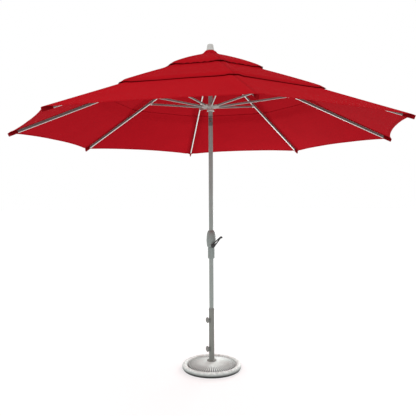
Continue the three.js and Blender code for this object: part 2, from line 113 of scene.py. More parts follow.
# ------------------------------------------------------------------ shader expressions
class Expr:
    """A value in a shader, with the usual arithmetic on it."""

    def __init__(self, graph: "Graph", socket: Optional[bpy.types.NodeSocket]) -> None:
        """Holds one output socket of a graph."""
        self.graph = graph
        self.socket = socket

    def _math(self, kind: str, other: "Value", swap: bool = False) -> "Expr":
        """A Math node of this value and another.

        Args:
            kind: the node's operation.
            other: the second value.
            swap: whether the other value goes first.

        Returns:
            The result.
        """
        first, second = (other, self) if swap else (self, other)
        return self.graph.math(kind, first, second)

    def __add__(self, other: "Expr | float") -> "Expr":
        """This value plus another."""
        return self._math("ADD", other)

    def __radd__(self, other: float) -> "Expr":
        """A number plus this value."""
        return self._math("ADD", other, True)

    def __sub__(self, other: "Expr | float") -> "Expr":
        """This value less another."""
        return self._math("SUBTRACT", other)

    def __rsub__(self, other: float) -> "Expr":
        """A number less this value."""
        return self._math("SUBTRACT", other, True)

    def __mul__(self, other: "Expr | float") -> "Expr":
        """This value times another."""
        return self._math("MULTIPLY", other)

    def __rmul__(self, other: float) -> "Expr":
        """A number times this value."""
        return self._math("MULTIPLY", other, True)

    def __truediv__(self, other: "Expr | float") -> "Expr":
        """This value over another."""
        return self._math("DIVIDE", other)

    def __rtruediv__(self, other: float) -> "Expr":
        """A number over this value."""
        return self._math("DIVIDE", other, True)

    def __pow__(self, other: float) -> "Expr":
        """This value to a power."""
        return self._math("POWER", other)

    def __rpow__(self, other: float) -> "Expr":
        """A number to the power of this value."""
        return self._math("POWER", other, True)

    def __abs__(self) -> "Expr":
        """This value without its sign."""
        return self.graph.math("ABSOLUTE", self)

    def above(self, edge: float) -> "Expr":
        """1 where this value is more than edge, else 0."""
        return self._math("GREATER_THAN", edge)

    def sine(self) -> "Expr":
        """The sine of this value."""
        return self.graph.math("SINE", self)

    def band(self, middle: float, half: float) -> "Expr":
        """1 within half of middle, else 0.

        Args:
            middle: the band's middle.
            half: half its width.

        Returns:
            The mask.
        """
        return 1.0 - abs(self - middle).above(half)

    def ramp(self, low: float, high: float) -> "Expr":
        """0 below low, 1 above high, and smooth between.

        Args:
            low: where the rise starts.
            high: where it ends.

        Returns:
            The clamped value.
        """
        return self.graph.node("MapRange", {"interpolation_type": "SMOOTHSTEP"},
                               {"Value": self, "From Min": low, "From Max": high}, "Result")


Value = Union[Expr, float, Sequence[float]]


class Graph:
    """A material's node tree, with a call for each node that the finishes use."""

    def __init__(self, name: str) -> None:
        """Starts an empty material."""
        self.material = bpy.data.materials.new(name)
        self.material.use_nodes = True
        self.tree = self.material.node_tree
        self.tree.nodes.clear()

    def node(self, kind: str, settings: dict[str, object], values: dict[str | int, Value],
             out: str | int = 0) -> Expr:
        """Adds any node: its settings first, then what its sockets take.

        Args:
            kind: the node's type, without the common start of its name.
            settings: the node's own settings.
            values: a value or a link for each socket, by name or number.
            out: the output that is wanted.

        Returns:
            That output.
        """
        node = self.tree.nodes.new("ShaderNode" + kind)
        for name, value in settings.items():
            setattr(node, name, value)
        for name, value in values.items():
            if isinstance(value, Expr):
                self.tree.links.new(value.socket, node.inputs[name])
            else:
                node.inputs[name].default_value = value
        return Expr(self, node.outputs[out] if node.outputs else None)

    def math(self, kind: str, first: Value, second: Value = 0.0) -> Expr:
        """A Math node of one or two values."""
        return self.node("Math", {"operation": kind}, {0: first, 1: second})

    def place(self, stretch: Sequence[float] = (1, 1, 1)) -> Expr:
        """The point on the object, in metres, stretched along each axis."""
        point = self.node("TexCoord", {}, {}, "Object")
        return self.node("Mapping", {}, {"Vector": point, "Scale": stretch})

    def axes(self, source: Expr) -> list[Expr]:
        """A vector's three parts."""
        first = self.node("SeparateXYZ", {}, {0: source})
        return [Expr(self, part) for part in first.socket.node.outputs]

    def laid_out(self, name: str) -> list[Expr]:
        """The two values of a UV layer, in metres, and a nought."""
        return self.axes(self.node("UVMap", {"uv_map": name}, {}, "UV"))

    def noise(self, scale: float, detail: float = 2.0, at: Optional[Expr] = None) -> Expr:
        """A noise value about 0.5.

        Args:
            scale: its cells per metre.
            detail: its octaves.
            at: the point to read, or the point on the object.

        Returns:
            The value.
        """
        return self.node("TexNoise", {}, {"Scale": scale, "Detail": detail, "Vector": at or self.place()},
                         "Fac")

    def cells(self, scale: float) -> Expr:
        """The distance to the nearest cell point of a cellular pattern."""
        return self.node("TexVoronoi", {}, {"Scale": scale, "Vector": self.place()}, "Distance")

    def blend(self, share: Value, low: "Expr | Colour", high: "Expr | Colour") -> Expr:
        """A colour between two others.

        Args:
            share: 0 for the first and 1 for the second.
            low: the first colour.
            high: the second colour.

        Returns:
            The mixed colour.
        """
        ends = [value if isinstance(value, Expr) else (*value, 1.0) for value in (low, high)]
        return self.node("Mix", {"data_type": "RGBA", "clamp_factor": True},
                         {0: share, 6: ends[0], 7: ends[1]}, 2)

    def bump(self, height: Expr, depth: float, strength: float = 1.0) -> Expr:
        """A normal from a height.

        Args:
            height: the height, about 0 to 1.
            depth: metres for a height of 1.
            strength: how much of it shows.

        Returns:
            The normal.
        """
        return self.node("Bump", {}, {"Strength": strength, "Distance": depth, "Height": height})

    def surface(self, **sockets: Value) -> Expr:
        """A Principled shader, its sockets named with _ for a space."""
        return self.node("BsdfPrincipled", {},
                         {name.replace("_", " "): value for name, value in sockets.items()})

    def glow_through(self, front: Expr, colour: Expr, share: float) -> Expr:
        """Lets light through a thin sheet.

        Args:
            front: the sheet's own shader.
            colour: the colour of the light that comes through.
            share: how much of the sheet's look it is.

        Returns:
            The mixed shader.
        """
        return self.node("MixShader", {},
                         {0: share, 1: front, 2: self.node("BsdfTranslucent", {}, {0: colour})})

    def done(self, shader: Expr) -> bpy.types.Material:
        """Ends the tree in the shader and gives the material."""
        self.node("OutputMaterial", {}, {"Surface": shader})
        return self.material


def shade(colour: Colour, share: float) -> Colour:
    """A colour, darker or lighter by a share of itself."""
    return tuple(min(1.0, c * share) for c in colour)


# ------------------------------------------------------------------ finishes
@dataclass(frozen=True)
class PowderCoat:
    """Powder-coated metal: a fine orange peel, soft cloudiness, a little dust and, on bars, painted shade
    down their sides.

    Attributes:
        name: the material's name.
        colour: its colour.
        rough: its mean roughness.
        metallic: how much of the metal shows.
        side: how dark the painted shade on a bar's sides is against its top and bottom faces, read from its
            bar layout, or 1 for none.
    """

    name: str
    colour: Colour
    rough: float = 0.42
    metallic: float = 0.35
    side: float = 1.0

    def build(self) -> bpy.types.Material:
        """Makes the material."""
        g = Graph(self.name)
        cloud = g.noise(14.0, 4.0)
        peel = g.noise(900.0, 2.0)
        streak = g.noise(30.0, 3.0, g.place((1, 1, 0.08)))
        tone = g.blend(cloud, shade(self.colour, 0.9), shade(self.colour, 1.08))
        if self.side < 1:
            _, level, _ = g.laid_out("bar")
            # painted shade: a bar's sides darker than its top and bottom faces, for how the light falls on
            # them
            tone = g.blend(abs(level).ramp(0.72, 0.92), shade(self.colour, self.side), tone)
        dust = g.noise(55.0, 6.0).ramp(0.6, 0.78) * 0.16
        tone = g.blend(dust, tone, (0.62, 0.6, 0.56))
        rough = self.rough - 0.08 + streak * 0.12 + dust * 0.5
        normal = g.bump(peel, 0.00005, 0.5)
        return g.done(g.surface(Base_Color=tone, Roughness=rough, Metallic=self.metallic, Normal=normal))


@dataclass(frozen=True)
class CastRim:
    """Cast and painted stone-like rim: mottled and hammered, with painted shade down its outer side below the
    crest and a near-black painted shadow at its foot.

    Attributes:
        name: the material's name.
        colour: its colour.
        crest: the height, in metres, above which the rim keeps its full colour; the painted shade deepens
            over 24 mm below it.
    """

    name: str
    colour: Colour
    crest: float = 0.043

    def build(self) -> bpy.types.Material:
        """Makes the material."""
        g = Graph(self.name)
        mottle = g.noise(60.0, 6.0)
        dimple = g.cells(120.0)
        fine = g.noise(420.0, 4.0)
        _, _, height = g.axes(g.place())
        tone = g.blend(mottle.ramp(0.35, 0.65), shade(self.colour, 0.80), shade(self.colour, 1.12))
        # painted shade: the rim's outer side below the crest darkened, as if turned away from the light above
        tone = g.blend(height.ramp(self.crest - 0.024, self.crest), shade(self.colour, 0.30), tone)
        # painted shadow: the rim's foot, below about 2 cm, nearly black where it meets the pad
        tone = g.blend(height.ramp(0.013, 0.023), shade(self.colour, 0.05), tone)
        speck = g.noise(300.0, 2.0).ramp(0.66, 0.74) * 0.35
        tone = g.blend(speck, tone, shade(self.colour, 0.45))
        normal = g.bump(dimple * 0.7 + fine * 0.3, 0.0011, 0.6)
        return g.done(g.surface(Base_Color=tone, Roughness=0.5 + mottle * 0.2, Metallic=0.1, Normal=normal))


@dataclass(frozen=True)
class CastPlate:
    """The fluted plate: satin metal paint, with painted shade in its flutes, dark painted notches at their
    outer ends and painted shade round its edge.

    Attributes:
        name: the material's name.
        colour: its colour.
        flutes: how many flutes run out from its middle.
        reach: its radius, in metres.
    """

    name: str
    colour: Colour
    flutes: int = 64
    reach: float = 0.1915

    def build(self) -> bpy.types.Material:
        """Makes the material."""
        g = Graph(self.name)
        x, y, _ = g.axes(g.place())
        radius = (x * x + y * y) ** 0.5
        turn = g.math("ARCTAN2", y, x) * float(self.flutes)
        # painted shade in the flutes' troughs, growing outwards from the middle
        flute_shade = (turn.sine() * -0.5 + 0.5) * radius.ramp(0.06, 0.17)
        mottle = g.noise(40.0, 4.0)
        tone = g.blend(mottle, shade(self.colour, 0.88), shade(self.colour, 1.1))
        tone = g.blend(flute_shade.ramp(0.1, 0.8) * 0.95, tone, shade(self.colour, 0.20))
        # painted shadow: dark notches where the flutes' outer ends run into the groove at the rim
        edge = radius.ramp(self.reach - 0.030, self.reach - 0.018)
        tone = g.blend(edge * flute_shade.ramp(0.2, 0.6) * 0.95, tone, shade(self.colour, 0.06))
        # painted shade in the groove between the plate's edge and the rim
        tone = g.blend(radius.ramp(self.reach - 0.003, self.reach) * 0.85, tone, shade(self.colour, 0.15))
        normal = g.bump(g.noise(500.0, 3.0), 0.0002, 0.5)
        return g.done(g.surface(Base_Color=tone, Roughness=0.42 + mottle * 0.16, Metallic=0.1, Normal=normal))


@dataclass(frozen=True)
class Moulded:
    """Moulded plastic with a fine spark-eroded grain.

    Attributes:
        name: the material's name.
        colour: its colour.
        rough: its mean roughness.
        grain: the grain's depth, in metres.
    """

    name: str
    colour: Colour
    rough: float = 0.5
    grain: float = 0.00012

    def build(self) -> bpy.types.Material:
        """Makes the material."""
        g = Graph(self.name)
        grain = g.noise(1400.0, 2.0)
        cloud = g.noise(25.0, 3.0)
        rub = g.noise(90.0, 5.0).ramp(0.58, 0.72)
        tone = g.blend(cloud, shade(self.colour, 0.9), shade(self.colour, 1.12))
        tone = g.blend(rub * 0.25, tone, shade(self.colour, 1.5))
        rough = self.rough + (cloud - 0.5) * 0.2 - rub * 0.08
        normal = g.bump(grain, self.grain, 0.6)
        return g.done(g.surface(Base_Color=tone, Roughness=rough, Normal=normal))


@dataclass(frozen=True)
class Rubber:
    """Dull black rubber with a dusty bloom.

    Attributes:
        name: the material's name.
        colour: its colour.
    """

    name: str
    colour: Colour = (0.014, 0.014, 0.015)

    def build(self) -> bpy.types.Material:
        """Makes the material."""
        g = Graph(self.name)
        bloom = g.noise(70.0, 5.0)
        tone = g.blend(bloom.ramp(0.45, 0.8), self.colour, (0.05, 0.05, 0.048))
        normal = g.bump(g.noise(800.0, 2.0), 0.0002, 0.6)
        return g.done(g.surface(Base_Color=tone, Roughness=0.75 + bloom * 0.2, Normal=normal))


@dataclass(frozen=True)
class Turned:
    """Turned or brushed steel with rings round its axis.

    Attributes:
        name: the material's name.
        colour: its colour.
    """

    name: str
    colour: Colour = (0.5, 0.5, 0.49)

    def build(self) -> bpy.types.Material:
        """Makes the material."""
        g = Graph(self.name)
        rings = g.noise(60.0, 3.0, g.place((20, 1, 1)))
        tone = g.blend(rings, shade(self.colour, 0.8), self.colour)
        normal = g.bump(rings, 0.00006, 0.6)
        return g.done(g.surface(Base_Color=tone, Roughness=0.25 + rings * 0.2, Metallic=1.0, Normal=normal))


@dataclass(frozen=True)
class Canvas:
    """Outdoor canvas: a plain weave, sewn seams and hems, soft creases, some light through it and, where set,
    painted shade along the hem's lip.

    Attributes:
        name: the material's name.
        colour: its colour.
        through: how much of the light behind it shows.
        seam: half the width of the seam over a rib, in metres.
        hem: the depth of the turned hem, in metres.
        sewn: whether the cloth has the seam and hem lines.
        edge: how dark the painted shade along the hem's lip is, where the gap under the tier lies in shadow.
    """

    name: str
    colour: Colour
    through: float = 0.06
    seam: float = 0.008
    hem: float = 0.022
    sewn: bool = True
    edge: float = 0.0

    def build(self) -> bpy.types.Material:
        """Makes the material."""
        g = Graph(self.name)
        across, inward, _ = g.laid_out("cloth")
        thread = TAU / 0.0011
        weave = (across * thread).sine() * (inward * thread).sine() * 0.5 + 0.5
        slub = g.noise(700.0, 2.0)
        crease = g.noise(9.0, 3.0)
        tone = g.blend(g.noise(5.0, 3.0), shade(self.colour, 0.93), shade(self.colour, 1.06))
        tone = g.blend(slub.ramp(0.5, 0.8) * 0.18, tone, shade(self.colour, 1.25))
        tone = g.blend(weave * 0.12, tone, shade(self.colour, 0.7))
        height = weave * 0.12 + slub * 0.05 + crease * 1.4
        if self.sewn:
            dash = (inward * (TAU / 0.004)).sine().above(-0.5)
            cross_dash = (across * (TAU / 0.004)).sine().above(-0.5)
            side = abs(across)
            seam_line = (side.band(self.seam, 0.0006) + side.band(self.seam * 0.35, 0.0006)) * dash
            hem_line = (inward.band(self.hem, 0.0006) + inward.band(self.hem - 0.004, 0.0006)) * cross_dash
            fold = 1.0 - side.ramp(self.seam, self.seam + 0.003)
            turned = 1.0 - inward.ramp(self.hem, self.hem + 0.002)
            stitches = g.math("MINIMUM", seam_line + hem_line, 1.0)
            tone = g.blend(fold * 0.18 + turned * 0.16, tone, shade(self.colour, 0.62))
            tone = g.blend(stitches * 0.6, tone, shade(self.colour, 0.35))
            height = height + fold * 0.5 + turned * 0.45 - stitches * 0.4
        if self.edge:
            # painted shade: the last few millimetres of the hem darkened, for the shadowed gap beneath
            tone = g.blend((1.0 - inward.ramp(0.003, 0.006)) * self.edge, tone, shade(self.colour, 0.2))
        normal = g.bump(height, 0.0016, 0.55)
        front = g.surface(Base_Color=tone, Roughness=0.85 + slub * 0.12, Specular_IOR_Level=0.01,
                          Normal=normal)
        return g.done(g.glow_through(front, tone, self.through))


class Finish(Enum):
    """The finishes that the pieces take."""

    FRAME = PowderCoat("frame_coat", (0.262, 0.300, 0.282), 0.5, 0.1)
    # for the rib and strut coats the last number is how dark the painted shade on a bar's sides is
    RIB = PowderCoat("rib_coat", (0.70, 0.75, 0.72), 0.4, 0.1, 0.22)
    STRUT = PowderCoat("strut_coat", (0.46, 0.50, 0.475), 0.42, 0.1, 0.45)
    STEM = PowderCoat("stem_coat", (0.190, 0.203, 0.185), 0.5, 0.1)
    RIM = CastRim("cast_rim", (0.80, 0.87, 0.84))
    PLATE = CastPlate("cast_plate", (0.71, 0.80, 0.77))
    HOUSING = Moulded("grey_moulding", (0.222, 0.262, 0.249), 0.52)
    KNUCKLE = Moulded("knuckle_moulding", (0.115, 0.14, 0.135), 0.5)
    PALE = Moulded("pale_moulding", (0.47, 0.49, 0.465), 0.42)
    BLACK = Moulded("black_moulding", (0.016, 0.016, 0.017), 0.42)
    KNOB = Moulded("knob_moulding", (0.18, 0.19, 0.176), 0.42)
    STEEL = Turned("turned_steel")
    RUBBER = Rubber("pad_rubber")
    CLOTH = Canvas("red_canvas", (0.425, 0.0052, 0.0108))
    # the upper tiers' canvas, with painted shade along the hem's lip
    VENT = Canvas("vent_canvas", (0.405, 0.0050, 0.0104), edge=0.75)
    # the cloth's underside: the same canvas painted darker, as painted shade
    LINING = Canvas("underside_shade_canvas", (0.355, 0.0055, 0.0112))
    # the pockets' canvas is painted about half as dark as the canopy's: doubled cloth, and painted shade as
    # they face away from the light
    POCKET = Canvas("pocket_canvas", (0.20, 0.003, 0.006), 0.04, sewn=False)

    @property
    def material(self) -> bpy.types.Material:
        """The finish's material, made on first use."""
        found = bpy.data.materials.get(self.value.name)
        return found or self.value.build()


# ------------------------------------------------------------------ making meshes
def rounded(points: Sequence[Point], radius: float, steps: int = 4) -> list[Point]:
    """Rounds the inner corners of an open outline.

    Args:
        points: the outline, in the plane of a spun profile.
        radius: the largest rounding, in metres.
        steps: the pieces of each rounded corner.

    Returns:
        The rounded outline, with the same ends.
    """
    out = [points[0]]
    for before, at, after in zip(points, points[1:], points[2:]):
        a, p, b = Vector(before), Vector(at), Vector(after)
        r = min(radius, (a - p).length * 0.45, (b - p).length * 0.45)
        start, end = p + (a - p).normalized() * r, p + (b - p).normalized() * r
        for i in range(steps + 1):
            t = i / steps
            out.append(tuple(start * (1 - t) ** 2 + p * 2 * t * (1 - t) + end * t * t))
    out.append(points[-1])
    return out


class Shaper:
    """Collects the shapes of one piece in one bmesh."""

    def __init__(self) -> None:
        """Starts with nothing in it."""
        self.bm = bmesh.new()

    def _move(self, verts: Iterable[bmesh.types.BMVert], frame_at: Optional[Matrix]) -> None:
        """Moves new vertices into place."""
        if frame_at is not None:
            bmesh.ops.transform(self.bm, matrix=frame_at, verts=list(verts))

    def spin(self, profile: Sequence[Point], steps: int = 64, frame_at: Optional[Matrix] = None,
             closed: bool = False) -> list[bmesh.types.BMVert]:
        """Spins an outline of (radius, height) round the Z axis.

        Args:
            profile: the outline. Where it isn't closed, its ends lie on the axis or stay open.
            steps: the pieces round.
            frame_at: where the shape goes.
            closed: whether the outline's last point joins its first.

        Returns:
            The new vertices.
        """
        old = set(self.bm.verts)
        line = [self.bm.verts.new((r, 0, z)) for r, z in profile]
        pairs = list(zip(line, line[1:])) + ([(line[-1], line[0])] if closed else [])
        edges = [self.bm.edges.new(pair) for pair in pairs]
        bmesh.ops.spin(self.bm, geom=line + edges, cent=(0, 0, 0), axis=(0, 0, 1), angle=TAU,
                       steps=steps, use_merge=True)
        new = [v for v in self.bm.verts if v not in old]
        bmesh.ops.remove_doubles(self.bm, verts=new, dist=1e-6)
        new = [v for v in self.bm.verts if v not in old]
        self._move(new, frame_at)
        return new

    def box(self, low: Sequence[float], high: Sequence[float], bevel: float,
            frame_at: Optional[Matrix] = None,
            segments: int = 2) -> list[bmesh.types.BMVert]:
        """A box with rounded edges.

        Args:
            low: its lowest corner.
            high: its highest corner.
            bevel: the width of the rounding.
            frame_at: where the shape goes.
            segments: the pieces of the rounding.

        Returns:
            The new vertices.
        """
        old = set(self.bm.verts)
        low_v, high_v = Vector(low), Vector(high)
        size = Matrix.Diagonal((*(high_v - low_v), 1))
        bmesh.ops.create_cube(self.bm, size=1, matrix=Matrix.Translation((low_v + high_v) / 2) @ size)
        self._bevel_new(old, bevel, segments)
        new = [v for v in self.bm.verts if v not in old]
        self._move(new, frame_at)
        return new

    def _bevel_new(self, old: set, bevel: float, segments: int, sharp: float = 0.6) -> None:
        """Bevels the sharp edges of what was added since old was noted.

        Args:
            old: the vertices that were there before.
            bevel: the bevel's width.
            segments: its pieces.
            sharp: the least angle of an edge that is bevelled.
        """
        if bevel <= 0:
            return
        self.bm.normal_update()
        edges = [e for e in self.bm.edges if e.verts[0] not in old and e.is_manifold
                 and e.calc_face_angle(0) > sharp]
        bmesh.ops.bevel(self.bm, geom=edges, offset=bevel, offset_type="OFFSET", affect="EDGES",
                        segments=segments, profile=0.5, material=-1, clamp_overlap=True)

    def prism(self, outline: Callable[[float], tuple[float, float]], count: int, depth: float, bevel: float,
              frame_at: Optional[Matrix] = None, segments: int = 2) -> list[bmesh.types.BMVert]:
        """A flat shape with thickness, along +Z.

        Args:
            outline: gives the outline's point at each angle.
            count: the points round it.
            depth: its thickness.
            bevel: the rounding of its edges.
            frame_at: where the shape goes.
            segments: the pieces of the rounding.

        Returns:
            The new vertices.
        """
        old = set(self.bm.verts)
        made = bmesh.ops.create_circle(self.bm, cap_ends=True, segments=count, radius=1)["verts"]
        for vert in made:
            vert.co.x, vert.co.y = outline(math.atan2(vert.co.y, vert.co.x))
        face = made[0].link_faces[0]
        up = bmesh.ops.extrude_face_region(self.bm, geom=[face])["geom"]
        bmesh.ops.translate(self.bm, vec=(0, 0, depth),
                            verts=[g for g in up if isinstance(g, bmesh.types.BMVert)])
        new = [v for v in self.bm.verts if v not in old]
        bmesh.ops.recalc_face_normals(self.bm, faces=list({f for v in new for f in v.link_faces}))
        self._bevel_new(old, bevel, segments)
        new = [v for v in self.bm.verts if v not in old]
        self._move(new, frame_at)
        return new

    def rod(self, radius: float, low: float, high: float, bevel: float = 0.0005,
            frame_at: Optional[Matrix] = None, steps: int = 28) -> list[bmesh.types.BMVert]:
        """A round bar along Z with rounded ends.

        Args:
            radius: its radius.
            low: its lower end.
            high: its upper end.
            bevel: the rounding of its ends.
            frame_at: where the shape goes.
            steps: the pieces round.

        Returns:
            The new vertices.
        """
        profile = rounded([(0, low), (radius, low), (radius, high), (0, high)], bevel, 3)
        return self.spin(profile, steps, frame_at)

    def piece(self, name: str, finish: Finish, body: str, stands_for: Sequence[str] = (),
              smooth: float = 35.0, outward: bool = True) -> bpy.types.Object:
        """Makes the object, gives it its finish and lets it ride on its body.

        Args:
            name: the piece's name.
            finish: its finish.
            body: the CAD body that it moves with.
            stands_for: the CAD nodes that it replaces.
            smooth: edges sharper than this, in degrees, stay sharp.
            outward: whether to turn every face outwards.

        Returns:
            The object.
        """
        if outward:
            bmesh.ops.recalc_face_normals(self.bm, faces=self.bm.faces)
        for face in self.bm.faces:
            face.smooth = True
        for edge in self.bm.edges:
            edge.smooth = not (edge.is_manifold and edge.calc_face_angle(0) > math.radians(smooth))
        mesh = bpy.data.meshes.new(name)
        self.bm.to_mesh(mesh)
        self.bm.free()
        obj = bpy.data.objects.new(name, mesh)
        bpy.context.scene.collection.objects.link(obj)
        mesh.materials.append(finish.material)
        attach(obj, body)
        if stands_for:
            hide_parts(*stands_for)
        LOG.info("%s: %d faces on %s", name, len(mesh.polygons), body)
        return obj


def along_y(at: Sequence[float] = (0, 0, 0)) -> Matrix:
    """A frame at a point with its Z axis along +Y."""
    return Matrix.Translation(at) @ Matrix.Rotation(-math.pi / 2, 4, "X")


# ------------------------------------------------------------------ base
@dataclass
class Base:
    """The rubber pad, the cast rim, the fluted plate, the clamping stem and its two knobs.

    Attributes:
        radius: the rim's outer radius.
        rim_top: the rim's crest.
        plate_radius: the plate's radius.
        plate_top: the plate's middle.
        flutes: how many flutes the plate has.
        stem: the stem's radius.
        stem_top: its top.
        knobs: each knob's name and height.
        knob_turn: how far the knobs are turned from -X, towards -Y.
    """

    radius: float = 0.240
    rim_top: float = 0.045
    plate_radius: float = 0.1915
    plate_top: float = 0.062
    flutes: int = 64
    stem: float = 0.0216
    stem_top: float = 0.472
    knobs: dict = field(default_factory=lambda: {"knob_upper": 0.396, "knob_lower": 0.162})
    knob_turn: float = math.radians(30)

    def build(self) -> None:
        """Makes every piece of the base."""
        self.pad()
        self.rim()
        self.plate()
        self.stem_tube()
        self.cap()
        for name, height in self.knobs.items():
            self.knob(name, height)

    def pad(self) -> None:
        """The rubber pad under the rim."""
        shape = Shaper()
        r, top = self.radius - 0.008, 0.0077
        shape.spin(rounded([(0, 0), (r - 0.003, 0), (r, 0.003), (r, top), (0, top)], 0.0012, 3), 96)
        shape.piece("ground_pad", Finish.RUBBER, "base", ["base_pad"])

    def rim(self) -> None:
        """The cast body with its rounded rim."""
        b, top = self.radius, self.rim_top
        profile = [(0, 0.008), (b - 0.009, 0.008), (b - 0.003, 0.0105), (b, 0.022), (b - 0.002, 0.033),
                   (b - 0.010, top - 0.002), (b - 0.022, top), (b - 0.034, top - 0.005),
                   (b - 0.040, top - 0.013), (b - 0.0425, 0.0282), (0, 0.0282)]
        shape = Shaper()
        shape.spin(rounded(profile, 0.009, 5), 128)
        shape.piece("cast_rim", Finish.RIM, "base", ["base_body"], 50)

    def plate(self) -> None:
        """The sunburst plate, its flutes sunk between rounded ridges."""
        r, top, shoulder = self.plate_radius, self.plate_top, 0.0375
        inner, edge, steps = 0.056, self.plate_radius - 0.003, 18
        profile = [(0, top), (inner - 0.006, top)]
        for i in range(steps + 1):
            share = i / steps
            height = (top - 0.0015) * (1 - share) + shoulder * share + 0.002 * math.sin(share * math.pi)
            profile.append((inner + (edge - inner) * share, height))
        profile += [(r - 0.001, shoulder - 0.002), (r, shoulder - 0.006), (r, 0.0285), (0, 0.0285)]
        shape = Shaper()
        shape.spin(profile, self.flutes * 8)
        for vert in shape.bm.verts:
            span = math.hypot(vert.co.x, vert.co.y)
            if inner < span < r + 0.0005 and vert.co.z > 0.031:
                grow = min(1.0, (span - inner) / (edge - inner)) ** 0.7
                wave = 0.5 - 0.5 * math.sin(self.flutes * math.atan2(vert.co.y, vert.co.x))
                vert.co.z = max(0.0295, vert.co.z - 0.0042 * grow * wave)
        shape.piece("sunburst_plate", Finish.PLATE, "base", ["base_plate"], 60)

    def stem_tube(self) -> None:
        """The stem with its foot flange and the bosses of its knobs."""
        low, r = self.plate_top + 0.0003, self.stem
        bore, floor = LAYOUT.pole + 0.0015, 0.072
        profile = [(0, low), (0.037, low), (0.038, low + 0.001), (0.038, low + 0.0042), (0.036, low + 0.0066),
                   (r + 0.006, low + 0.0076), (r + 0.002, low + 0.010), (r, low + 0.015),
                   (r, self.stem_top - 0.001),
                   (r - 0.001, self.stem_top), (bore + 0.0006, self.stem_top), (bore, self.stem_top - 0.001),
                   (bore, floor), (0, floor)]
        shape = Shaper()
        shape.spin(rounded(profile, 0.002, 3), 64)
        for height in self.knobs.values():
            at = self.knob_frame(height)
            shape.rod(0.010, r - 0.0018, r + 0.0064, 0.001, at, 32)
            shape.rod(0.0125, r - 0.0018, r + 0.002, 0.0012, at, 32)
        for k in range(3):
            turn = Matrix.Rotation(TAU * k / 3 + 0.6, 4, "Z")
            shape.prism(lambda a: (0.0036 * math.cos(a), 0.0036 * math.sin(a)), 6, 0.0026, 0.0004,
                        turn @ Matrix.Translation((0.0325, 0, low + 0.0058)))
        shape.piece("clamp_stem", Finish.STEM, "base", ["stem"], 40)

    def cap(self) -> None:
        """The collar that closes the top of the stem round the pole."""
        low, outer, inner = self.stem_top + 0.0003, self.stem + 0.0016, LAYOUT.pole + 0.0006
        profile = [(inner, low), (outer, low), (outer, low + 0.012), (outer - 0.003, low + 0.016),
                   (inner, low + 0.016)]
        shape = Shaper()
        shape.spin(rounded(profile, 0.0015, 3) + [(inner, low + 0.008)], 64, closed=True)
        shape.piece("stem_collar", Finish.KNOB, "base", ["stem_cap"])

    def knob_frame(self, height: float) -> Matrix:
        """A frame on the pole axis with Z out along a knob's screw."""
        turn = Matrix.Rotation(math.pi + self.knob_turn, 4, "Z")
        return Matrix.Translation((0, 0, height)) @ turn @ Matrix.Rotation(math.pi / 2, 4, "Y")

    def knob(self, name: str, height: float) -> None:
        """A round hand knob with shallow lobes, its screw and its dished cap.

        Args:
            name: the CAD node that it stands for.
            height: the screw's height.
        """
        at = self.knob_frame(height)
        shape = Shaper()

        def lobes(angle: float) -> Point:
            """The point of the lobed outline at an angle, in radians."""
            r = 0.0231 + 0.0009 * math.cos(6 * angle)
            return r * math.cos(angle), r * math.sin(angle)

        boss = self.stem + 0.0064
        back, front = boss + 0.006, boss + 0.015
        shape.prism(lobes, 72, front - back, 0.0028, at @ Matrix.Translation((0, 0, back)), 3)
        neck = [(0, boss + 0.0003), (0.0075, boss + 0.0003), (0.0085, boss + 0.002), (0.0125, back + 0.0005),
                (0, back + 0.0005)]
        shape.spin(rounded(neck, 0.001, 3), 40, at)
        crown = [(0, front + 0.0006), (0.008, front + 0.0004), (0.0105, front + 0.002),
                 (0.0145, front + 0.002),
                 (0.0162, front - 0.0006), (0, front - 0.001)]
        shape.spin(rounded(crown, 0.0008, 3), 40, at)
        shape.rod(0.005, LAYOUT.pole + 0.0004, boss + 0.001, 0.0006, at, 24)
        shape.piece("hand_" + name, Finish.KNOB, name, [name], 40)


